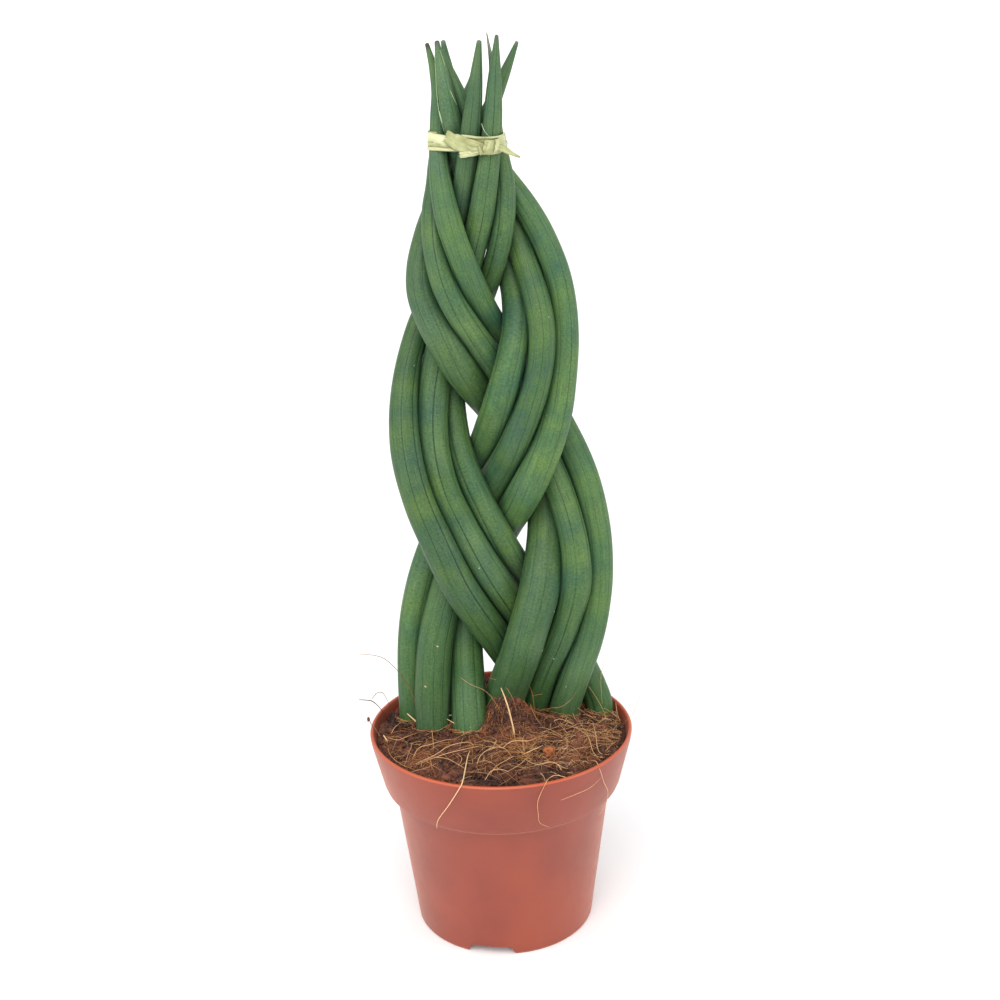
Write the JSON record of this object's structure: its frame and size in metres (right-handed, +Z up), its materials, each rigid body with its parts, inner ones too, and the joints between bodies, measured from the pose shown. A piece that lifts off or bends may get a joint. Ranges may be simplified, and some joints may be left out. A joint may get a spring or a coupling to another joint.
{
  "type": "braided cylindrical snake plant in a nursery pot",
  "caption": "Potted houseplant of round upright leaves braided in strands, tied with raffia under pointed tips, rooted in coir in a round terracotta-coloured plastic pot.",
  "frame": {"origin": "on the ground under the centre of the pot", "axes": "+Z up along the pot's axis, -Y towards the front, +X to the right seen from the front"},
  "size_m": [0.13, 0.13, 0.4331],
  "materials": {
    "pot": "satin terracotta-coloured polypropylene",
    "soil": "rough coir fibre and peat",
    "leaf": "waxy satin leaf skin",
    "raffia": "dry fibrous palm strip"
  },
  "bodies": {
    "root": {"pot": "pot", "soil": "soil", "leaf_a1": "leaf", "leaf_a2": "leaf", "leaf_a3": "leaf", "leaf_b1": "leaf", "leaf_b2": "leaf", "leaf_b3": "leaf", "leaf_c1": "leaf", "leaf_c2": "leaf", "leaf_c3": "leaf", "raffia_tie": "raffia"}
  },
  "joints": []
}
